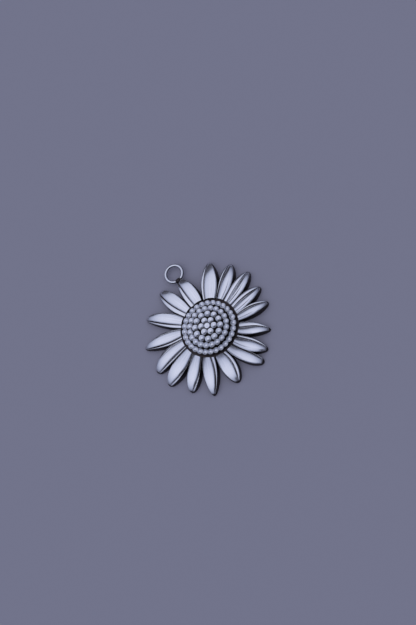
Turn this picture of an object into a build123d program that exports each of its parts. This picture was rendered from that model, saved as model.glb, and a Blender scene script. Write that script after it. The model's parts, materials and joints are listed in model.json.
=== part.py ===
"""Sunflower pendant: a silver-coloured casting of seventeen petals round a beaded seed head, with a
closed wire ring soldered to the tip of one petal.

Millimetres. The flat back lies on z = 0, the flower faces +Z, the middle of the seed head is on the
Z axis, and the hanging ring is on the +Y side.
"""

import os
from collections import namedtuple
from math import cos, pi, radians, sin

from build123d import *

# Petals
flower_radius = 13.6  # middle of the flower to the tip of an average petal
petal_breadth = 3.2  # an average petal across its widest place
petal_height = 1.95  # the crown of a petal at its highest, above the back
petal_root_height = 1.35  # the crown where it leaves the seed head
petal_tip_height = 0.45  # the blunt end of the tip
petal_tip_breadth = 0.5  # the same, from side to side
root_overlap = 0.55  # how far a petal runs in behind the wall of the channel
grinding_allowance = 0.4  # depth of the keel that is ground off flat under each petal

# Seed head
channel_radius = 6.2  # outer wall of the sunken channel round the seed head
channel_floor = 0.8  # height of the channel's floor above the back
bed_radius = 5.45  # the stepped bed that carries the seeds
bed_edge_height = 1.1
bed_rise = 1.07  # how much higher the bed stands in the middle
seed_diameter = 1.0

# Hanging ring
wire_diameter = 0.62
ring_bore_radius = 1.52  # clear hole of the hanging ring
ring_height = 0.9  # middle of the wire above the back
wire_land = 0.01  # how far the hole is reamed into the wire's inner side
ring_overlap = 0.56  # how far the ring's wire runs over the petal's tip
solder_radius = 0.5

# One row for each petal, clockwise from the petal to the right of the hanging ring. Angles are in
# degrees from +X, anticlockwise, as seen from the front. "reach" is a share of flower_radius, and
# "breadth" of petal_breadth. "widest" is the place of the widest section, as a share of the petal's
# length from its root, and "bow" is how far the middle of the petal stands out clockwise of a
# straight line, as a share of the same length. "round" shapes the tip: 0.5 is round, 0.9 is pointed.
# The last five are shares of half the breadth: where the groove lies across the root, the middle and
# the tip, how far the slope beside it reaches, and where the crease lies on the other side.
Petal = namedtuple("Petal", "root_angle tip_angle root_span reach breadth widest bow round "
                            "groove mid_groove tip_groove flank crease")
petals = [
    Petal(60.0, 59.6, 27.8, 1.04, 1.22, 0.40, 0.035, 0.85, 0.64, 0.60, 0.38, 0.16, -0.80),
    Petal(38.9, 40.4, 16.2, 1.02, 0.96, 0.58, 0.06, 0.78, 0.74, 0.66, 0.36, 0.30, -0.50),
    Petal(22.4, 22.1, 19.0, 1.01, 0.97, 0.53, 0.05, 0.75, 0.15, 0.30, 0.25, 0.38, -0.45),
    Petal(1.2, 3.9, 24.0, 0.95, 0.96, 0.44, 0.028, 0.75, 0.30, 0.36, 0.12, 0.26, -0.55),
    Petal(-15.5, -12.7, 19.6, 0.94, 0.82, 0.50, 0.03, 0.75, 0.40, 0.58, 0.22, 0.24, -0.55),
    Petal(-37.7, -38.8, 25.2, 0.92, 0.94, 0.33, 0.02, 0.92, 0.14, 0.34, 0.55, 0.24, -0.80),
    Petal(-61.0, -57.0, 22.8, 0.96, 0.96, 0.50, 0.035, 0.85, 0.52, 0.57, 0.60, 0.24, -0.50),
    Petal(-79.8, -68.0, 19.0, 1.00, 0.77, 0.62, 0.06, 0.60, 0.75, 0.80, 0.60, 0.24, -0.72),
    Petal(-102.5, -96.1, 25.0, 0.95, 1.10, 0.50, -0.03, 0.70, 0.45, 0.58, 0.42, 0.16, -0.80),
    Petal(-127.4, -119.7, 25.4, 1.02, 1.01, 0.40, -0.02, 0.90, 0.42, 0.66, 0.68, 0.16, -0.75),
    Petal(-150.0, -139.9, 21.1, 0.99, 0.91, 0.58, -0.015, 0.65, 0.80, 0.80, 0.45, 0.22, -0.75),
    Petal(-168.2, -161.2, 17.2, 1.04, 1.03, 0.55, -0.02, 0.70, 0.78, 0.80, 0.40, 0.22, -0.85),
    Petal(173.2, 183.0, 21.0, 1.03, 1.02, 0.50, 0.04, 0.55, 0.62, 0.66, 0.66, 0.18, -0.55),
    Petal(152.8, 158.9, 21.4, 1.06, 1.01, 0.36, -0.005, 0.93, 0.50, 0.66, 0.70, 0.14, -0.65),
    Petal(131.8, 134.1, 23.1, 1.06, 1.00, 0.36, 0.025, 0.80, 0.42, 0.58, 0.55, 0.14, -0.80),
    Petal(110.6, 108.6, 22.7, 1.05, 1.08, 0.42, -0.003, 0.75, 0.20, 0.44, 0.45, 0.14, -0.88),
    Petal(87.1, 90.6, 30.0, 0.97, 1.12, 0.28, 0.05, 0.72, 0.28, 0.46, 0.42, 0.14, -0.88),
]
ring_petal = petals[-1]

# Sections of a petal from its root to its tip, as shares of its length
stations = [0.0, 0.22, 0.45, 0.68, 0.86, 0.96, 1.0]
crown_station = 0.5  # where the crown is highest

# The profile across a petal. Places across are shares of half the breadth, and heights of the crown.
wall_top = 0.32  # the sides stand upright up to here
edge_place, edge_height = 0.95, 0.67
rim_place, rim_height = 0.89, 0.80
strip_height = 0.825  # the narrow strip between the rim and the groove
groove_limit = 0.80  # the rim keeps at least some breadth
strip_breadth = 0.07  # from the middle of the groove to the strip
groove_height = 0.745
shoulder_height = 0.915
crease_height = 0.963
far_place, far_height = -0.88, 0.815
far_edge_place, far_edge_height = -0.96, 0.56
far_wall_top = 0.18

# The stepped seed bed, from its edge inwards. "radius" is a share of bed_radius, and "rise" of
# bed_rise. A narrow trench parts each step from the next.
BedStep = namedtuple("BedStep", "radius rise")
bed_steps = [
    BedStep(1.00, 0.00),
    BedStep(0.87, 0.04),
    BedStep(0.845, -0.14),
    BedStep(0.81, -0.14),
    BedStep(0.785, 0.41),
    BedStep(0.635, 0.47),
    BedStep(0.61, 0.28),
    BedStep(0.57, 0.28),
    BedStep(0.545, 0.65),
    BedStep(0.385, 0.73),
    BedStep(0.36, 0.54),
    BedStep(0.335, 0.54),
    BedStep(0.31, 0.89),
    BedStep(0.15, 0.98),
    BedStep(0.00, 1.00),
]

# Rings of seeds, from the outside in. "radius" is a share of bed_radius, "size" of seed_diameter,
# "turn" is the angle of the first seed in degrees, and "rise" lifts the seeds' middles above the
# bed's edge by a share of bed_rise.
SeedRing = namedtuple("SeedRing", "radius count size turn rise")
seed_rings = [
    SeedRing(0.94, 28, 1.10, -2.2, 0.32),
    SeedRing(0.705, 20, 1.15, -2.8, 0.71),
    SeedRing(0.477, 12, 1.20, -1.0, 0.94),
    SeedRing(0.239, 6, 1.20, 27.0, 1.12),
    SeedRing(0.0, 1, 1.22, 0.0, 1.25),
]

petal_start = channel_radius - root_overlap
ring_wire_radius = wire_diameter / 2
ring_radius = ring_bore_radius - wire_land + ring_wire_radius
ring_petal_tip = flower_radius * ring_petal.reach
ring_middle = ring_petal_tip + ring_radius + ring_wire_radius - ring_overlap


def polar(radius, angle):
    """The point at this radius and angle in degrees, on the back plane."""
    return Vector(radius * cos(radians(angle)), radius * sin(radians(angle)))


def half_breadth(petal, share):
    """Half the width of a petal at a share of its length."""
    root = petal_start * sin(radians(petal.root_span / 2))
    widest = petal.breadth * petal_breadth / 2
    if share <= petal.widest:
        return root + (widest - root) * sin(pi / 2 * share / petal.widest)
    outer = (share - petal.widest) / (1 - petal.widest)
    tip = petal_tip_breadth / 2
    return tip + (widest - tip) * (1 - outer**2) ** petal.round


def crown_height(share):
    """Height of a petal's crown above the back at a share of its length."""
    if share <= crown_station:
        swell = sin(pi / 2 * share / crown_station)
        return petal_root_height + (petal_height - petal_root_height) * swell
    outer = (share - crown_station) / (1 - crown_station)
    return petal_tip_height + (petal_height - petal_tip_height) * (1 - outer**2.4) ** 0.7


def groove_place(petal, share):
    """Where the groove lies across: a smooth curve through its places at root, middle and tip."""
    place = (petal.groove * (1 - share) * (1 - 2 * share) + petal.mid_groove * 4 * share * (1 - share)
             + petal.tip_groove * share * (2 * share - 1))
    return min(groove_limit, place)


def petal_section(plane, petal, share):
    """The profile across a petal. Its rim and groove are on the anticlockwise side, at +x."""
    breadth = half_breadth(petal, share)
    crown = crown_height(share)
    groove = groove_place(petal, share)
    shoulder = groove - petal.flank
    top = (shoulder + petal.crease) / 2

    def corner(across, up):
        """A corner of the profile, from its shares of half the breadth and of the crown's height."""
        return (across * breadth, up * crown)

    with BuildSketch(plane) as section:
        with BuildLine():
            keel = (0, -grinding_allowance)
            foot = (breadth, -grinding_allowance / 2)
            far_foot = (-breadth, -grinding_allowance / 2)
            Polyline(
                corner(petal.crease, crease_height),
                corner(min(far_place, petal.crease - 0.03), far_height),
                corner(far_edge_place, far_edge_height),
                corner(-1, far_wall_top),
                far_foot,
                keel,
                foot,
                corner(1, wall_top),
                corner(edge_place, edge_height),
                corner(rim_place, rim_height),
                corner(groove + strip_breadth, strip_height),
                corner(groove, groove_height),
                corner(shoulder, shoulder_height),
            )
            ThreePointArc(corner(shoulder, shoulder_height), corner(top, 1), corner(petal.crease, crease_height))
        make_face()
    return section.sketch


def petal_solid(petal):
    """One petal, lofted along its bowed middle line."""
    root = polar(petal_start, petal.root_angle)
    tip = polar(flower_radius * petal.reach, petal.tip_angle)
    chord = tip - root
    clockwise = Vector(chord.Y, -chord.X)
    bend = (root + tip) / 2 + clockwise * 2 * petal.bow
    with BuildLine() as middle:
        Bezier(root, bend, tip)
    with BuildPart() as blade:
        for share in stations:
            outward = middle.line % share
            across = Vector(-outward.Y, outward.X)
            plane = Plane(origin=middle.line @ share, x_dir=across, z_dir=outward)
            add(petal_section(plane, petal, share))
        loft()
    return blade.part


blades = [petal_solid(petal) for petal in petals]

# Stepped bed with its rings of raised seeds
with BuildPart() as seed_head:
    with BuildSketch(Plane.XZ):
        with BuildLine():
            foot = channel_floor / 2
            steps = [(bed_radius * step.radius, bed_edge_height + bed_rise * step.rise) for step in bed_steps]
            Polyline((0, foot), (bed_radius, foot), *steps, close=True)
        make_face()
    revolve(axis=Axis.Z)
    for ring in seed_rings:
        around = bed_radius * ring.radius
        with Locations((0, 0, bed_edge_height + bed_rise * ring.rise)):
            with PolarLocations(around, ring.count, ring.turn):
                Sphere(ring.size * seed_diameter / 2)

# The whole casting with its soldered hanging ring
with BuildPart() as flower_casting:
    Cylinder(channel_radius, channel_floor, align=(Align.CENTER, Align.CENTER, Align.MIN))
    add(blades)
    split(bisect_by=Plane.XY, keep=Keep.TOP)
    with BuildSketch(Plane.XY.offset(channel_floor)):
        Circle(channel_radius)
    extrude(amount=petal_height, mode=Mode.SUBTRACT)
    add(seed_head.part)
    with Locations((0, ring_middle, ring_height)):
        Torus(ring_radius, ring_wire_radius)
    with Locations((0, ring_middle - ring_radius, ring_height)):
        Sphere(solder_radius)
    with Locations((0, ring_middle, ring_height)):
        Hole(ring_bore_radius)

# A union can lose a petal or a seed without an error, so one point inside each of them is tested.
casting = flower_casting.part.solid()
for petal in petals:
    tip = polar(flower_radius * petal.reach, petal.tip_angle)
    near_tip = tip + (polar(petal_start, petal.root_angle) - tip) * 0.04
    assert casting.is_inside(near_tip + Vector(0, 0, petal_tip_height / 2)), petal
for ring in seed_rings:
    for number in range(ring.count):
        seed_spot = polar(bed_radius * ring.radius, ring.turn + 360 * number / ring.count)
        seed_height = bed_edge_height + bed_rise * ring.rise + ring.size * seed_diameter / 4
        assert casting.is_inside(seed_spot + Vector(0, 0, seed_height)), ring

flower_casting.part.label = "flower_casting"
os.makedirs("parts", exist_ok=True)
export_step(flower_casting.part, "parts/flower_casting.step")
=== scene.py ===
# %% [markdown]
# A cast sunflower pendant. Seventeen grooved petals stand round a seed head of raised beads, and a
# small wire ring is soldered to the tip of one petal. On the bench all of it is one piece of silver
# coloured metal, cast, soldered, darkened in its recesses and polished on top. The dark of the
# recesses is painted, partly as patina and partly as painted shade.
# The imported construction model gives the place and the size. It is loaded first and never moved.

# %% Load the frame
import json
from collections import namedtuple
from contextlib import contextmanager
from math import atan, cos, pi, radians, sin

import bpy
from mathutils import Matrix, Vector
from mathutils.bvhtree import BVHTree

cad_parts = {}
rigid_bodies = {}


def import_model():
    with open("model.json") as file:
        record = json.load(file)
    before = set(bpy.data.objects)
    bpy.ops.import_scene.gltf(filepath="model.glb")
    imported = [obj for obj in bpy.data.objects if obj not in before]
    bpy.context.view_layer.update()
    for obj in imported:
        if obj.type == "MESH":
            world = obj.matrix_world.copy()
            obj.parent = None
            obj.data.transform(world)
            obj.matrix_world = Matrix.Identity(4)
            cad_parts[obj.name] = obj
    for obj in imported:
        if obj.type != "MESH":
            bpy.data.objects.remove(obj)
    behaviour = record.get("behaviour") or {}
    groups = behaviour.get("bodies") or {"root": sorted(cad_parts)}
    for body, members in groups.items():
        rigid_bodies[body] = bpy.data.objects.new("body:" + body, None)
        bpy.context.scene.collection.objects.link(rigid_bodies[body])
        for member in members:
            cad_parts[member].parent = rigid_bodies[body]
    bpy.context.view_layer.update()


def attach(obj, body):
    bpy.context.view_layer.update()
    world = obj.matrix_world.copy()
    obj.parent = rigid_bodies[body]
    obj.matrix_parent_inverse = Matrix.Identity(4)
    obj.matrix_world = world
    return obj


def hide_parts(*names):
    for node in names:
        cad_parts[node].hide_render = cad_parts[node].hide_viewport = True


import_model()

# %% [markdown]
# The flower is modelled in millimetres and brought down to metres at the very end. Modelling tools
# merge corners at distances meant for furniture, and in metres they would weld a bead shut. The
# sizes are those of the construction model, so that both have one outline.

# %% Sizes of the flower
MILLIMETRE = 0.001  # in metres

flower_radius = 13.6  # middle of the flower to the tip of an average petal
petal_breadth = 3.2
petal_height = 1.95  # the crown of a petal at its highest
petal_root_height = 1.35  # the crown where the petal leaves the seed head
petal_tip_height = 0.45  # the blunt end of the tip
petal_tip_breadth = 0.5
petal_start = 5.65  # the petals begin behind the wall of the channel

channel_radius = 6.2  # outer wall of the sunken channel round the seed head
channel_floor = 0.8  # its height above the back
bed_radius = 5.45  # the terraced bed that carries the seeds
bed_edge_height = 1.1
bed_rise = 1.07  # how much higher the bed stands in the middle
seed_diameter = 1.0

ring_bore_radius = 1.52
wire_diameter = 0.62
ring_height = 0.9  # middle of the wire above the back
wire_land = 0.01  # how far the hole is reamed into the wire
ring_overlap = 0.56  # how far the wire runs over the petal's tip
solder_radius = 0.5
polished_off = 0.008  # what polishing takes off the wire

# %% [markdown]
# No two petals are alike, and that is what makes a hand-cut flower look alive. One row holds what is
# seen of each: where it leaves the seed head, where its tip points, how wide an angle its root takes
# up, how long and broad it is, where it is broadest, how far it bows sideways, and how round its tip
# is. Angles are in degrees from +X, anticlockwise from the front. Lengths are shares of the sizes
# above.
# The last five columns are shares of half the breadth. Three say where the groove runs at the root,
# the middle and the tip, "flank" is how far the slope beside it reaches, and "crease" is the place
# of the fine line on the other side.

# %% The seventeen petals
Petal = namedtuple("Petal", "root_angle tip_angle root_span reach breadth widest bow round "
                            "groove mid_groove tip_groove flank crease")
petals = [
    Petal(60.0, 59.6, 27.8, 1.04, 1.22, 0.40, 0.035, 0.85, 0.64, 0.60, 0.38, 0.16, -0.80),
    Petal(38.9, 40.4, 16.2, 1.02, 0.96, 0.58, 0.06, 0.78, 0.74, 0.66, 0.36, 0.30, -0.50),
    Petal(22.4, 22.1, 19.0, 1.01, 0.97, 0.53, 0.05, 0.75, 0.15, 0.30, 0.25, 0.38, -0.45),
    Petal(1.2, 3.9, 24.0, 0.95, 0.96, 0.44, 0.028, 0.75, 0.30, 0.36, 0.12, 0.26, -0.55),
    Petal(-15.5, -12.7, 19.6, 0.94, 0.82, 0.50, 0.03, 0.75, 0.40, 0.58, 0.22, 0.24, -0.55),
    Petal(-37.7, -38.8, 25.2, 0.92, 0.94, 0.33, 0.02, 0.92, 0.14, 0.34, 0.55, 0.24, -0.80),
    Petal(-61.0, -57.0, 22.8, 0.96, 0.96, 0.50, 0.035, 0.85, 0.52, 0.57, 0.60, 0.24, -0.50),
    Petal(-79.8, -68.0, 19.0, 1.00, 0.77, 0.62, 0.06, 0.60, 0.75, 0.80, 0.60, 0.24, -0.72),
    Petal(-102.5, -96.1, 25.0, 0.95, 1.10, 0.50, -0.03, 0.70, 0.45, 0.58, 0.42, 0.16, -0.80),
    Petal(-127.4, -119.7, 25.4, 1.02, 1.01, 0.40, -0.02, 0.90, 0.42, 0.66, 0.68, 0.16, -0.75),
    Petal(-150.0, -139.9, 21.1, 0.99, 0.91, 0.58, -0.015, 0.65, 0.80, 0.80, 0.45, 0.22, -0.75),
    Petal(-168.2, -161.2, 17.2, 1.04, 1.03, 0.55, -0.02, 0.70, 0.78, 0.80, 0.40, 0.22, -0.85),
    Petal(173.2, 183.0, 21.0, 1.03, 1.02, 0.50, 0.04, 0.55, 0.62, 0.66, 0.66, 0.18, -0.55),
    Petal(152.8, 158.9, 21.4, 1.06, 1.01, 0.36, -0.005, 0.93, 0.50, 0.66, 0.70, 0.14, -0.65),
    Petal(131.8, 134.1, 23.1, 1.06, 1.00, 0.36, 0.025, 0.80, 0.42, 0.58, 0.55, 0.14, -0.80),
    Petal(110.6, 108.6, 22.7, 1.05, 1.08, 0.42, -0.003, 0.75, 0.20, 0.44, 0.45, 0.14, -0.88),
    Petal(87.1, 90.6, 30.0, 0.97, 1.12, 0.28, 0.05, 0.72, 0.28, 0.46, 0.42, 0.14, -0.88),
]
crown_station = 0.5  # where along its length a petal is highest
crown_drop, crown_fullness = 2.4, 0.7  # the crown stays level at first and drops late, in a full curve
rounding_start, rounding_length = 0.97, 0.03  # polishing has rounded the last of the tip
rounding_depth = 0.7  # and taken this share off its end


def rounded_end(share):
    """How much of the blunt tip is left where polishing has rounded it: 1 is all."""
    worn = max(0, (share - rounding_start) / rounding_length)
    return 1 - rounding_depth * worn**2


def half_breadth(petal, share):
    """Half the width of a petal at a share of its length."""
    root = petal_start * sin(radians(petal.root_span / 2))
    widest = petal.breadth * petal_breadth / 2
    if share <= petal.widest:
        return root + (widest - root) * sin(pi / 2 * share / petal.widest)
    outer = (share - petal.widest) / (1 - petal.widest)
    tip = petal_tip_breadth / 2
    return (tip + (widest - tip) * (1 - outer**2) ** petal.round) * rounded_end(share)


def crown_height(share):
    """Height of a petal's crown above the back at a share of its length."""
    if share <= crown_station:
        swell = sin(pi / 2 * share / crown_station)
        return petal_root_height + (petal_height - petal_root_height) * swell
    outer = (share - crown_station) / (1 - crown_station)
    left = (1 - outer**crown_drop) ** crown_fullness
    height = petal_tip_height + (petal_height - petal_tip_height) * left
    return height * (1 + rounded_end(share)) / 2


def groove_place(petal, share):
    """Where the groove lies across: a smooth curve through its places at root, middle and tip."""
    return (petal.groove * (1 - share) * (1 - 2 * share) + petal.mid_groove * 4 * share * (1 - share)
            + petal.tip_groove * share * (2 * share - 1))


print(len(petals), "petals; crown height from root to tip:",
      [round(crown_height(share / 4), 2) for share in range(5)])

# %% [markdown]
# A few small helpers keep the steps below readable. Operators act on whatever is selected, and the
# loaded frame is still selected, so every step begins by selecting only its own piece.

# %% Helpers for working by hand
looks_up = 0.9  # a face whose normal rises more than this is a top


def select_only(*pieces):
    """Deselect all, then select these pieces and make the first one active."""
    bpy.ops.object.select_all(action="DESELECT")
    for piece in pieces:
        piece.select_set(True)
    bpy.context.view_layer.objects.active = pieces[0]


@contextmanager
def edit_mode(piece, select="SELECT"):
    """Open one piece in edit mode with all of it selected, or none."""
    select_only(piece)
    bpy.ops.object.mode_set(mode="EDIT")
    bpy.ops.mesh.select_all(action=select)
    yield
    bpy.ops.object.mode_set(mode="OBJECT")


def select_top(piece):
    """In edit mode, select only the faces that look up."""
    bpy.ops.mesh.select_mode(type="FACE")
    bpy.ops.object.mode_set(mode="OBJECT")
    for face in piece.data.polygons:
        face.select = face.normal.z > looks_up
    bpy.ops.object.mode_set(mode="EDIT")


def apply_modifier(piece, kind, **settings):
    """Add one modifier, set it up and apply it."""
    select_only(piece)
    bpy.ops.object.modifier_add(type=kind)
    modifier = piece.modifiers[-1]
    for name, value in settings.items():
        setattr(modifier, name, value)
    bpy.ops.object.modifier_apply(modifier=modifier.name)


def place(piece, spot, turn=(0, 0, 0)):
    """Move and turn a piece, and keep the place in its mesh."""
    piece.location = spot
    piece.rotation_euler = turn
    select_only(piece)
    bpy.ops.object.transform_apply(location=True, rotation=True, scale=True)


def blank_map(piece):
    """Give a piece an empty map, so that the petals' lines and streaks leave it alone."""
    while piece.data.uv_layers:
        piece.data.uv_layers.remove(piece.data.uv_layers[0])
    piece.data.uv_layers.new(name="grain", do_init=False)


def polar(radius, angle):
    """The point at this radius and angle in degrees, on the back plane."""
    return Vector((radius * cos(radians(angle)), radius * sin(radians(angle)), 0))


# %% [markdown]
# A petal is a blade with a raised rim along its left edge, a groove beside the rim, a crowned body,
# a soft crease and a narrow facet that drops to the right edge. Across, that is one closed profile.
# It could be carved from a slab, but drawing the profile once and extruding it from station to
# station keeps every line running cleanly from the root to the tip, as a graver would cut it.
# The profile's points are shares of half the width and of the crown's height. The blade runs a
# little below the back, where it is ground flat later.

# %% The profile across a petal
profile = [
    (1.00, -0.14), (1.00, 0.10), (0.995, 0.32), (0.98, 0.52), (0.95, 0.67), (0.91, 0.76), (0.86, 0.81),
    (0.80, 0.825), (0.73, 0.785), (0.69, 0.745), (0.65, 0.77), (0.59, 0.84), (0.50, 0.915),
    (0.36, 0.952), (0.20, 0.98), (0.04, 0.996), (-0.12, 1.00), (-0.28, 0.99), (-0.40, 0.975),
    (-0.46, 0.963), (-0.52, 0.95), (-0.66, 0.918), (-0.80, 0.87), (-0.88, 0.815), (-0.935, 0.70),
    (-0.975, 0.47), (-1.00, 0.18), (-1.00, -0.14), (0.0, -0.22),
]
# Where that drawing has the rim's edge, the strip beside the groove, the groove, the shoulder above
# it, the crease and the top of the facet.
drawn_edge, drawn_strip, drawn_groove, drawn_shoulder = 0.91, 0.76, 0.69, 0.50
drawn_crease, drawn_facet = -0.46, -0.88
stations = [0.0, 0.06, 0.12, 0.19, 0.26, 0.33, 0.4, 0.47, 0.54, 0.61, 0.67, 0.73, 0.78, 0.83, 0.87,
            0.905, 0.935, 0.96, 0.98, 0.992, 1.0]
print("profile of", len(profile), "points at", len(stations), "stations")

# %% Drawing and extruding a blade


def draw_profile(length, breadth, crown):
    """Start a blade: a circle pulled into the petal's profile, at the root."""
    bpy.ops.object.select_all(action="DESELECT")
    bpy.ops.mesh.primitive_circle_add(vertices=len(profile), radius=1)
    blade = bpy.context.object
    for corner, (across, up) in zip(blade.data.vertices, profile):
        corner.co = (-length / 2, across * breadth, up * crown)
    return blade


def extrude_blade(blade, petal, length):
    """Extrude the profile from station to station, resizing it each time."""
    with edit_mode(blade):
        for here, there in zip(stations, stations[1:]):
            step = ((there - here) * length, 0, 0)
            middle = ((there - 0.5) * length, 0, 0)
            wider = half_breadth(petal, there) / half_breadth(petal, here)
            higher = crown_height(there) / crown_height(here)
            bpy.ops.mesh.extrude_region_move(TRANSFORM_OT_translate={"value": step})
            bpy.ops.transform.resize(value=(1, wider, higher), center_override=middle)
        bpy.ops.mesh.edge_face_add()
        bpy.ops.mesh.select_all(action="DESELECT")
        bpy.ops.mesh.select_non_manifold()
        bpy.ops.mesh.edge_face_add()
        bpy.ops.mesh.select_all(action="SELECT")
        bpy.ops.mesh.normals_make_consistent(inside=False)


# %% [markdown]
# The finish needs to know where on a petal it is. Each blade gets a map while it is still straight,
# so that lines and strokes follow it when it is bent.

# %% The petal's own map


def share_along(corner, length):
    """How far along the blade a corner lies, from 0 at the root to 1 at the tip."""
    return min(1, max(0, corner.co.x / length + 0.5))


def map_grain(blade, petal, length):
    """Lay the petal's own map: u across it from -1 to 1, v along it from 0 to 1."""
    grain = blade.data.uv_layers.new(name="grain")
    for loop in blade.data.loops:
        corner = blade.data.vertices[loop.vertex_index]
        along = share_along(corner, length)
        grain.data[loop.index].uv = (corner.co.y / half_breadth(petal, along), along)


# %% [markdown]
# Every petal has its groove and its crease in another place. The blade is drawn once, with an even
# profile, and its corners are then slid across it until the lines lie where this petal has them.

# %% Carving the groove and the crease
groove_limit = 0.82  # the rim keeps at least some breadth
strip_breadth = 0.07  # from the middle of the groove to the flat of the rim
groove_reach, crease_reach = 0.08, 0.055  # how far each line reaches to either side
shallow_groove, wide_flank = 0.08, 0.26  # a groove is cut shallower where its flank is narrow
crease_depth = 0.05
crease_run = (0.35, 0.75)  # along the petal: full depth up to the first, gone from the second
facet_limit, facet_gap = -0.9, 0.05  # the facet begins here, or beyond the crease by the gap
outside = 1.001  # just past the sides, so that they are slid too


def fade(value, start, end):
    """1 before the start, 0 after the end, and a smooth slope between them."""
    share = min(1, max(0, (value - start) / (end - start)))
    return 1 - share * share * (3 - 2 * share)


def slide(across, marks, new_marks):
    """Slide a place across the profile so that its marks fall on the petal's own."""
    for low, high, new_low, new_high in zip(marks, marks[1:], new_marks, new_marks[1:]):
        if across <= high:
            return new_low + (across - low) * (new_high - new_low) / (high - low)
    return across


def carve_lines(blade, petal, length):
    """Press the crease in, lift the shallow grooves, and slide both to this petal's own places."""
    marks = (-outside, drawn_facet, drawn_crease, drawn_shoulder, drawn_groove, drawn_strip,
             drawn_edge, outside)
    for corner in blade.data.vertices:
        along = share_along(corner, length)
        half = half_breadth(petal, along)
        across = corner.co.y / half
        if corner.co.z > 0.5 * crown_height(along):
            near_crease = fade(abs(across - drawn_crease), 0.0, crease_reach)
            corner.co.z -= crease_depth * near_crease * fade(along, *crease_run)
            near_groove = fade(abs(across - drawn_groove), 0.0, groove_reach)
            corner.co.z += shallow_groove * near_groove * max(0, 1 - petal.flank / wide_flank)
        groove = min(groove_limit, groove_place(petal, along))
        facet = min(facet_limit, petal.crease - facet_gap)
        own = (-outside, facet, petal.crease, groove - petal.flank, groove, groove + strip_breadth,
               drawn_edge, outside)
        corner.co.y = slide(across, marks, own) * half


# %% [markdown]
# A petal is bent sideways into a slight bow, turned and set down between its root and its tip.

# %% All seventeen petals


def make_petal(petal):
    """One whole petal in its place."""
    root = polar(petal_start, petal.root_angle)
    tip = polar(flower_radius * petal.reach, petal.tip_angle)
    chord = tip - root
    bend = 4 * atan(2 * petal.bow)
    length = chord.length * (bend / 2) / sin(bend / 2)
    blade = draw_profile(length, half_breadth(petal, 0), crown_height(0))
    extrude_blade(blade, petal, length)
    apply_modifier(blade, "SUBSURF", levels=1, render_levels=1)
    map_grain(blade, petal, length)
    carve_lines(blade, petal, length)
    apply_modifier(blade, "SIMPLE_DEFORM", deform_method="BEND", deform_axis="Z", angle=bend)
    clockwise = Vector((chord.y, -chord.x, 0))
    heading = Vector((1, 0)).angle_signed(chord.xy) * -1
    place(blade, (root + tip) / 2 + clockwise * petal.bow, (0, 0, heading))
    return blade


blades = [make_petal(petal) for petal in petals]
print(len(blades), "blades of", len(blades[0].data.polygons), "faces each")

# %% [markdown]
# The petals grow from a hub, a plain disc. Each blade overlaps its neighbours, so the hub takes them
# all in one Boolean union, and the mesh has no walls hidden inside it. Where the right edge of one
# petal stands over the rim of the next, the union leaves the one clean dark line of the real thing.

# %% Hub and petals in one body
hub_inset = 0.2  # the hub ends this far inside the channel's wall, among the petals' roots
hub_keel = 0.2  # and runs this far below the back, where it is ground flat later
bpy.ops.object.select_all(action="DESELECT")
bpy.ops.mesh.primitive_cylinder_add(vertices=128, radius=channel_radius - hub_inset,
                                    depth=channel_floor + hub_keel,
                                    location=(0, 0, (channel_floor - hub_keel) / 2))
flower = bpy.context.object
bpy.ops.object.transform_apply(location=True)
blank_map(flower)


def workbox(name, pieces):
    """A collection that hands several pieces to one Boolean modifier."""
    box = bpy.data.collections.new(name)
    bpy.context.scene.collection.children.link(box)
    for piece in pieces:
        for old in list(piece.users_collection):
            old.objects.unlink(piece)
        box.objects.link(piece)
    return box


def fuse(body, name, pieces, operation="UNION"):
    """Join pieces to a body, or cut them from it, and throw the tools away."""
    box = workbox(name, pieces)
    apply_modifier(body, "BOOLEAN", operation=operation, solver="MANIFOLD",
                   operand_type="COLLECTION", collection=box)
    for piece in list(box.objects):
        bpy.data.objects.remove(piece)
    bpy.data.collections.remove(box)


fuse(flower, "blades", blades)
print("flower after the union:", len(flower.data.polygons), "faces")

# %% [markdown]
# A channel is sunk round the seed head. A cylinder added there and taken away by a Boolean
# difference trims all the petals' roots to one round wall.

# %% The channel round the seed head
bpy.ops.object.select_all(action="DESELECT")
bpy.ops.mesh.primitive_cylinder_add(vertices=192, radius=channel_radius, depth=petal_height,
                                    location=(0, 0, channel_floor + petal_height / 2))
cutter = bpy.context.object
blank_map(cutter)
fuse(flower, "channel", [cutter], "DIFFERENCE")
print("flower with its channel:", len(flower.data.polygons), "faces")

# %% [markdown]
# The seed bed climbs in four terraces, and a narrow trench parts each from the next. A cylinder is
# added, and its top face is inset and lifted ring by ring. Every step is one row: its radius as a
# share of the bed's, and its rise as a share of the whole rise.

# %% The seed bed
BedStep = namedtuple("BedStep", "radius rise")
bed_steps = [
    BedStep(1.00, 0.00),
    BedStep(0.87, 0.04),
    BedStep(0.845, -0.14),
    BedStep(0.81, -0.14),
    BedStep(0.785, 0.41),
    BedStep(0.635, 0.47),
    BedStep(0.61, 0.28),
    BedStep(0.57, 0.28),
    BedStep(0.545, 0.65),
    BedStep(0.385, 0.73),
    BedStep(0.36, 0.54),
    BedStep(0.335, 0.54),
    BedStep(0.31, 0.89),
    BedStep(0.15, 0.98),
    BedStep(0.06, 1.00),
]
bpy.ops.object.select_all(action="DESELECT")
bed_foot = channel_floor / 2
bpy.ops.mesh.primitive_cylinder_add(vertices=128, radius=bed_radius, depth=bed_edge_height - bed_foot,
                                    location=(0, 0, (bed_edge_height + bed_foot) / 2))
bed = bpy.context.object
bpy.ops.object.transform_apply(location=True)
blank_map(bed)
with edit_mode(bed, "DESELECT"):
    select_top(bed)
    for outer, inner in zip(bed_steps, bed_steps[1:]):
        bpy.ops.mesh.inset(thickness=bed_radius * (outer.radius - inner.radius))
        bpy.ops.transform.translate(value=(0, 0, bed_rise * (inner.rise - outer.rise)))
print("seed bed rises to", round(max(v.co.z for v in bed.data.vertices), 2), "mm")

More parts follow.
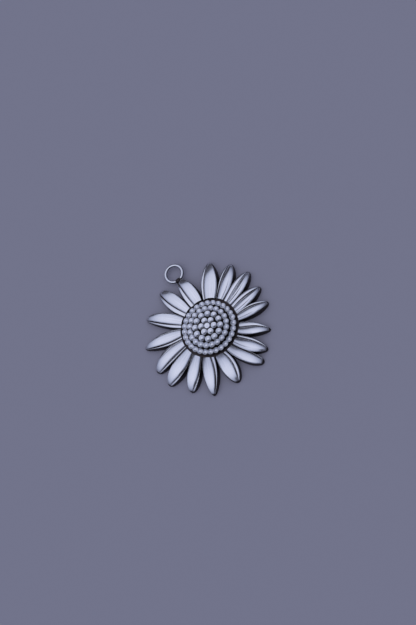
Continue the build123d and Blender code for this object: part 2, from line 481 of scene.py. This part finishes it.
# %% [markdown]
# Each seed is a small pillow with a dimple, as cut with a beading punch. A cube's top is inset and
# pushed in, and subdivision rounds the whole to a bead. One seed is modelled once and copied round
# the rings, each copy a little larger, smaller or turned, as hand-cut beads are.

# %% The seeds
SeedRing = namedtuple("SeedRing", "radius count size turn rise dimple")
seed_rings = [
    SeedRing(0.94, 28, 1.10, -2.2, 0.32, 1.0),
    SeedRing(0.705, 20, 1.15, -2.8, 0.71, 0.9),
    SeedRing(0.477, 12, 1.20, -1.0, 0.94, 0.8),
    SeedRing(0.239, 6, 1.20, 27.0, 1.12, 0.7),
    SeedRing(0.0, 1, 1.22, 0.0, 1.25, 0.3),
]
seed_shape = (1.00, 1.02, 0.86)  # outwards, round the ring, and up
bed_slope = 0.12  # how steeply the beads lean outwards at the bed's edge
rough_cube = 1.26  # subdivision rounds this cube to a bead about one unit across
dimple_inset, dimple_depth = 0.36, 0.62
stray_size, stray_out, stray_up = 0.04, 0.04, 0.03  # a share of its size, and two lengths
stray_round, stray_turn = 0.8, 9  # degrees round the ring, and turned on the spot
wobble_step, wobble_shift = 12.9, 78  # uneven, so that neighbours stray in different ways


def model_seed(dimple):
    """A bead one unit across, with a dimple of the given strength in its top."""
    bpy.ops.object.select_all(action="DESELECT")
    bpy.ops.mesh.primitive_cube_add(size=rough_cube)
    seed = bpy.context.object
    with edit_mode(seed, "DESELECT"):
        select_top(seed)
        bpy.ops.mesh.inset(thickness=dimple_inset)
        bpy.ops.transform.translate(value=(0, 0, -dimple_depth * dimple))
    apply_modifier(seed, "SUBSURF", levels=2, render_levels=2)
    blank_map(seed)
    return seed


seeds = []
for ring in seed_rings:
    pattern = model_seed(ring.dimple)
    slope = atan(bed_slope * ring.radius)
    for index in range(ring.count):
        angle = ring.turn + 360 * index / ring.count
        wobble = sin(wobble_step * index + wobble_shift * ring.radius)
        size = seed_diameter * ring.size * (1 + stray_size * wobble)
        seed = pattern.copy()
        seed.data = pattern.data.copy()
        bpy.context.scene.collection.objects.link(seed)
        seed.scale = [size * part for part in seed_shape]
        spot = polar(bed_radius * ring.radius + stray_out * wobble, angle + stray_round * wobble)
        spot.z = bed_edge_height + bed_rise * ring.rise + stray_up * wobble
        place(seed, spot, (0, slope, radians(angle + stray_turn * wobble)))
        seeds.append(seed)
    bpy.data.objects.remove(pattern)
highest = max(v.co.z for seed in seeds for v in seed.data.vertices)
print(len(seeds), "seeds, the highest", round(highest, 2), "mm")
fuse(flower, "seed head", [bed] + seeds)
print("flower now has", len(flower.data.polygons), "faces")

# %% [markdown]
# The hanging ring is a turn of round wire, soldered to the tip of the petal that points to +Y. The
# solder ran a little way along the wire and over the petal, so the blob is a flattened ball.

# %% The hanging ring and its solder
solder_shape = (1.0, 0.9, 0.85)  # across the petal, along it and up
wire_radius = wire_diameter / 2
ring_radius = ring_bore_radius - wire_land + wire_radius
ring_middle = flower_radius * petals[-1].reach + ring_radius + wire_radius - ring_overlap
bpy.ops.object.select_all(action="DESELECT")
bpy.ops.mesh.primitive_torus_add(major_segments=96, minor_segments=24, major_radius=ring_radius,
                                 minor_radius=wire_radius - polished_off,
                                 location=(0, ring_middle, ring_height))
hanging_ring = bpy.context.object
blank_map(hanging_ring)
place(hanging_ring, hanging_ring.location.copy())
solder_spot = Vector((0, ring_middle - ring_radius, ring_height))
bpy.ops.mesh.primitive_uv_sphere_add(segments=32, ring_count=20, radius=solder_radius,
                                     location=solder_spot)
solder = bpy.context.object
solder.scale = solder_shape
blank_map(solder)
place(solder, solder.location.copy())
fuse(flower, "hanging ring", [hanging_ring, solder])
print("ring hole", round(2 * ring_bore_radius, 2), "mm across,",
      "its middle at y =", round(ring_middle, 2), "mm")

# %% [markdown]
# The back is ground flat: one bisect at the back plane clears all below it and fills the cut.

# %% The ground back
with edit_mode(flower):
    bpy.ops.mesh.bisect(plane_co=(0, 0, 0), plane_no=(0, 0, 1), use_fill=True, clear_inner=True)
print("lowest point", round(min(v.co.z for v in flower.data.vertices), 4), "mm")

# %% [markdown]
# Antiqued metal is dipped until it is black all over, and then polished on a soft wheel, so the black
# stays only where the wheel doesn't reach. The wheel is imagined as a ball: it reaches a place only
# if the ball can touch it there without touching anything else first. The dark it leaves in the
# hollows is partly patina and partly painted shade. The steep walls, the crease, the blunt tips and
# the channel are painted dark as painted shade and painted reflection, and the metal round the
# solder is painted darker too. All of it is painted on every corner of the mesh as one value.

# %% Patina and painted shade in the hollows, on walls, crease, tips and channel
polish_radius = 0.30  # the ball
kept_out = (0.07, 0.42)  # share of the ball kept out: bright below the first, black above the second
# Steep walls are painted black as painted shade.
wall_shade_steepness = (0.32, 0.68)  # how far a face looks up: black below the first, bright above the second
underside = -0.5  # a face that looks down more than this is the polished back
face_pull = 0.1  # a corner is tried a little way in from the edge of its face
# The fine crease is painted dark as painted shade.
crease_breadth, painted_crease_shade = 0.07, 0.6
dark_run = (0.3, 0.62)  # along the petal: the crease is dark up to the first, bright from the second
# The blunt end of the tip is painted black as a painted dark reflection.
painted_tip_reflection_run = (0.955, 0.985)  # along the petal: the blunt end of the tip is black from the second
solder_run = (0.5, 0.9)  # from the middle of the solder outwards
wall_margin = 0.01  # so that the wall of the channel counts as part of it
# One painted value for every corner: patina and painted shade together.
patina_and_painted_shade = flower.data.attributes.new("patina_and_painted_shade", "FLOAT", "CORNER")
grain = flower.data.uv_layers["grain"].data
surface = BVHTree.FromPolygons([v.co for v in flower.data.vertices],
                               [face.vertices for face in flower.data.polygons])


def out_of_reach(spot, normal):
    """0 where the polishing ball touches freely, rising to 1 deep in a corner."""
    nearest = surface.find_nearest(spot + normal * polish_radius)
    return 1 - nearest[3] / polish_radius


for face in flower.data.polygons:
    for corner in face.loop_indices:
        vertex = flower.data.vertices[flower.data.loops[corner].vertex_index].co
        dark = 1 - fade(out_of_reach(vertex.lerp(face.center, face_pull), face.normal), *kept_out)
        # Steep walls: painted shade.
        if face.normal.z > underside:
            dark = max(dark, fade(face.normal.z, *wall_shade_steepness))
        across, along = grain[corner].uv
        on_petal = across != 0 or along != 0
        # The crease line: painted shade. The blunt tip: painted dark reflection.
        if on_petal:
            crease = fade(abs(across - drawn_crease), 0.0, crease_breadth) * fade(along, *dark_run)
            dark = max(dark, painted_crease_shade * crease, 1 - fade(along, *painted_tip_reflection_run))
        # The channel is painted black as painted shade. Round the solder the metal is painted darker.
        in_channel = vertex.z < bed_edge_height and vertex.xy.length < channel_radius + wall_margin
        near_solder = fade((vertex - solder_spot).length, *solder_run)
        dark = max(dark, near_solder, in_channel)
        patina_and_painted_shade.data[corner].value = dark
# The share of corners painted more than half dark, with patina and painted shade.
dark_corners = sum(value.value > 0.5 for value in patina_and_painted_shade.data)
print("tarnished corners:", round(dark_corners / len(patina_and_painted_shade.data), 2))

# %% [markdown]
# Last, the flower is brought down to metres and shaded smooth up to a limit of angle, so the crisp
# lines stay crisp.

# %% Down to metres
smooth_limit = radians(38)
flower.name = "flower"
flower.data.name = "flower"
with edit_mode(flower):
    bpy.ops.mesh.select_mode(type="VERT")
    bpy.ops.transform.resize(value=(MILLIMETRE, MILLIMETRE, MILLIMETRE), center_override=(0, 0, 0))
select_only(flower)
bpy.ops.object.shade_smooth_by_angle(angle=smooth_limit)
print("flower:", sum(len(face.vertices) - 2 for face in flower.data.polygons), "triangles")

# %% [markdown]
# The finish is one metal in three layers. Under all is bright polished silver colour. The graver left
# fine strokes along each petal, strongest near its root, which hold a breath of tarnish and catch
# the light. Over them lies the painted black of the recesses, walls and tips, partly patina and
# partly painted shade, with an edge broken up by noise, because no polish stops at a clean line.

# %% Helpers for a finish
metal = bpy.data.materials.new("silver-coloured metal with patina and painted shade")
metal.use_nodes = True
nodes, links = metal.node_tree.nodes, metal.node_tree.links
shader = nodes["Principled BSDF"]


def add_node(kind, **settings):
    """Add one shader node and set its properties."""
    node = nodes.new(kind)
    for name, value in settings.items():
        setattr(node, name, value)
    return node


def plug(socket, source):
    """Give one socket its value or its link."""
    if isinstance(source, bpy.types.NodeSocket):
        links.new(source, socket)
    else:
        socket.default_value = source


def feed(node, **sources):
    """Give a node's sockets their values or links. Underscores in a name stand for spaces."""
    for name, source in sources.items():
        plug(node.inputs[name.replace("_", " ")], source)
    return node


def number(operation, first, second):
    """One sum of two numbers or links."""
    node = add_node("ShaderNodeMath", operation=operation)
    plug(node.inputs[0], first)
    plug(node.inputs[1], second)
    return node.outputs["Value"]


def ramp(value, start, end, low=0.0, high=1.0):
    """A smooth slope from one value to another."""
    node = add_node("ShaderNodeMapRange", interpolation_type="SMOOTHSTEP")
    feed(node, Value=value, From_Min=start, From_Max=end, To_Min=low, To_Max=high)
    return node.outputs["Result"]


def noise(vector, scale, detail=4.0):
    """Soft noise from 0 to 1."""
    node = feed(add_node("ShaderNodeTexNoise"), Vector=vector, Scale=scale, Detail=detail)
    return node.outputs["Fac"]


def mix_colour(share, first, second):
    """One colour laid over another."""
    node = add_node("ShaderNodeMix", data_type="RGBA")
    plug(node.inputs[0], share)  # this node's colour sockets are the seventh and the eighth
    plug(node.inputs[6], first)
    plug(node.inputs[7], second)
    return node.outputs[2]


# %% The metal, with patina and painted shade
silver = (0.80, 0.81, 0.84, 1)
stroke_silver = (0.42, 0.43, 0.50, 1)
# The black of the patina and of the painted shade.
patina_and_shade_black = (0.070, 0.058, 0.058, 1)
stroke_scale = (9.0, 0.9, 1.0)  # strokes are ten times as long as they are broad on the map
stroke_edge, stroke_strength = (0.45, 0.70), 0.30
stroke_run = (0.75, 0.05)  # along the petal: no strokes beyond the first, all of them before the second
patch_scale, blotch_scale, speck_scale = 1400.0, 260.0, 9000.0  # so many of each to a metre
patch_strength = 0.45  # how far the patches push the edge of the black
black_edge, blotch_edge = (0.30, 0.80), (0.35, 0.65)
polished = (0.16, 0.27)  # least and most roughness of the bright metal
black_roughness = 0.30  # added where it is black
stroke_dents, speck_dents = 0.7, 0.3  # the share of each in the dents
dent_strength, dent_depth = 0.12, 0.00003

place_on_piece = add_node("ShaderNodeTexCoord").outputs["Object"]
grain_map = add_node("ShaderNodeUVMap", uv_map="grain").outputs["UV"]
painted = add_node("ShaderNodeAttribute", attribute_name="patina_and_painted_shade").outputs["Fac"]

along_petal = feed(add_node("ShaderNodeSeparateXYZ"), Vector=grain_map).outputs["Y"]
stretched = feed(add_node("ShaderNodeMapping"), Vector=grain_map, Scale=stroke_scale)
strokes = noise(stretched.outputs["Vector"], 1.0, detail=6.0)
near_root = ramp(along_petal, *stroke_run)
stroke_shade = number("MULTIPLY", ramp(strokes, *stroke_edge), near_root)

patches = noise(place_on_piece, patch_scale)
blotches = noise(place_on_piece, blotch_scale)
push = number("MULTIPLY", number("SUBTRACT", patches, 0.5), patch_strength)
# The painted black: patina and painted shade, its edge pushed by patches.
black = ramp(number("ADD", painted, push), *black_edge)

colour = mix_colour(number("MULTIPLY", stroke_shade, stroke_strength), silver, stroke_silver)
colour = mix_colour(black, colour, patina_and_shade_black)
rough = number("ADD", ramp(blotches, *blotch_edge, *polished), number("MULTIPLY", black, black_roughness))

specks = noise(place_on_piece, speck_scale, detail=3.0)
height = number("ADD", number("MULTIPLY", strokes, stroke_dents), number("MULTIPLY", specks, speck_dents))
dents = feed(add_node("ShaderNodeBump"), Height=height, Strength=dent_strength, Distance=dent_depth)

feed(shader, Base_Color=colour, Metallic=1.0, Roughness=rough, Normal=dents.outputs["Normal"])
flower.data.materials.clear()
flower.data.materials.append(metal)
for face in flower.data.polygons:
    face.material_index = 0
print("metal made of", len(nodes), "nodes")

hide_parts("flower_casting")
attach(flower, "root")

# %% [markdown]
# The pendant lies on a plain pale floor, and the camera looks down at the photograph's angle: not
# from straight above, but leaning to the lower right. That lean shortens the flower one way, shows
# the walls on its lower right side, and fixes which part of the surroundings each petal mirrors.

# %% Floor and camera
photo_width, photo_height = 416, 625
pixel = 0.2 * MILLIMETRE  # what one pixel of the photograph covers at the flower
flower_pixel = (209.87, 327.85)  # where the photograph has the middle of the channel
channel_edge = 1.15 * MILLIMETRE  # height of the channel's upper edge, where the camera aims
photo_turn = radians(35.5)  # the photograph shows the flower turned anticlockwise by this
camera_side = -40.0  # the camera leans towards this angle of the photograph
camera_lean = 26.5  # from straight above
lens, sensor_width = 85.0, 36.0  # millimetres
floor_size, floor_colour, floor_roughness = 1.6, (0.38, 0.37, 0.43, 1), 0.9


def photo_direction(angle, lean):
    """Unit vector that leans from straight above towards an angle of the photograph."""
    turned = radians(angle) - photo_turn
    level = sin(radians(lean))
    return Vector((level * cos(turned), level * sin(turned), cos(radians(lean))))


bpy.ops.object.select_all(action="DESELECT")
bpy.ops.mesh.primitive_plane_add(size=floor_size)
floor = bpy.context.object
floor.name = "floor"
plain = bpy.data.materials.new("plain pale floor")
plain.use_nodes = True
feed(plain.node_tree.nodes["Principled BSDF"], Base_Color=floor_colour, Roughness=floor_roughness)
floor.data.materials.append(plain)

bpy.ops.object.camera_add()
camera = bpy.context.object
camera.data.lens = lens
camera.data.sensor_width = sensor_width
# The camera's own axes: backwards, and what it sees as right and up.
back = photo_direction(camera_side, camera_lean)
side = photo_direction(camera_side, camera_lean + 90)
cross = photo_direction(camera_side + 90, 90)
side_turn = radians(camera_side)
seen_right = side * cos(side_turn) - cross * sin(side_turn)
seen_up = side * sin(side_turn) + cross * cos(side_turn)
target = (Vector((0, 0, channel_edge)) + seen_right * (photo_width / 2 - flower_pixel[0]) * pixel
          + seen_up * (flower_pixel[1] - photo_height / 2) * pixel)
camera.location = target + back * photo_height * pixel * lens / sensor_width
camera.rotation_euler = Matrix((seen_right, seen_up, back)).transposed().to_euler()
bpy.context.scene.camera = camera
print("camera", round(camera.location.length, 3), "m from the flower")

# %% [markdown]
# Polished metal shows its surroundings, so the light is painted as a soft sky. It is brightest
# nearly overhead and falls off evenly to a dim horizon, bluer on the way. A darker corner of the room
# beyond the top left of the picture gives the dark tips of the upper petals, and a small dark patch
# lies low behind the camera.

# %% Light
room = bpy.data.worlds.new("soft light in a dim room")
room.use_nodes = True
nodes, links = room.node_tree.nodes, room.node_tree.links  # the helpers now build here
sky_place = add_node("ShaderNodeTexCoord").outputs["Generated"]


def towards(angle, lean):
    """1 in this direction, falling to 0 at right angles to it. Angles are in degrees."""
    nearness = add_node("ShaderNodeVectorMath", operation="DOT_PRODUCT")
    links.new(sky_place, nearness.inputs[0])
    nearness.inputs[1].default_value = photo_direction(angle, lean)
    return nearness.outputs["Value"]


def cone(angle, lean, inner, outer):
    """1 inside a cone of directions and 0 outside it, with a soft edge."""
    return ramp(towards(angle, lean), cos(radians(outer)), cos(radians(inner)))


overhead = towards(angle=179, lean=10)
corner_strength = 0.92
dark_corner = number("MULTIPLY", cone(angle=125, lean=78, inner=25, outer=34), corner_strength)
dark_patch = cone(angle=-47, lean=52, inner=8, outer=18)
shade = number("MULTIPLY", number("SUBTRACT", 1.0, dark_corner), number("SUBTRACT", 1.0, dark_patch))
SkyStop = namedtuple("SkyStop", "place colour")
sky_stops = [
    SkyStop(0.00, (0.037, 0.035, 0.040)),
    SkyStop(0.25, (0.140, 0.150, 0.220)),
    SkyStop(0.50, (0.306, 0.336, 0.470)),
    SkyStop(0.75, (0.510, 0.550, 0.720)),
    SkyStop(1.00, (0.760, 0.790, 0.950)),
]
sky = add_node("ShaderNodeValToRGB")
stops = sky.color_ramp.elements
while len(stops) < len(sky_stops):
    stops.new(0.5)
for stop, wanted in zip(stops, sky_stops):
    stop.position = wanted.place
    stop.color = (*wanted.colour, 1)
feed(sky, Fac=number("MULTIPLY", overhead, shade))
links.new(sky.outputs["Color"], nodes["Background"].inputs["Color"])
bpy.context.scene.world = room
bpy.context.scene.view_settings.view_transform = "Standard"
print("sky of", len(stops), "shades")
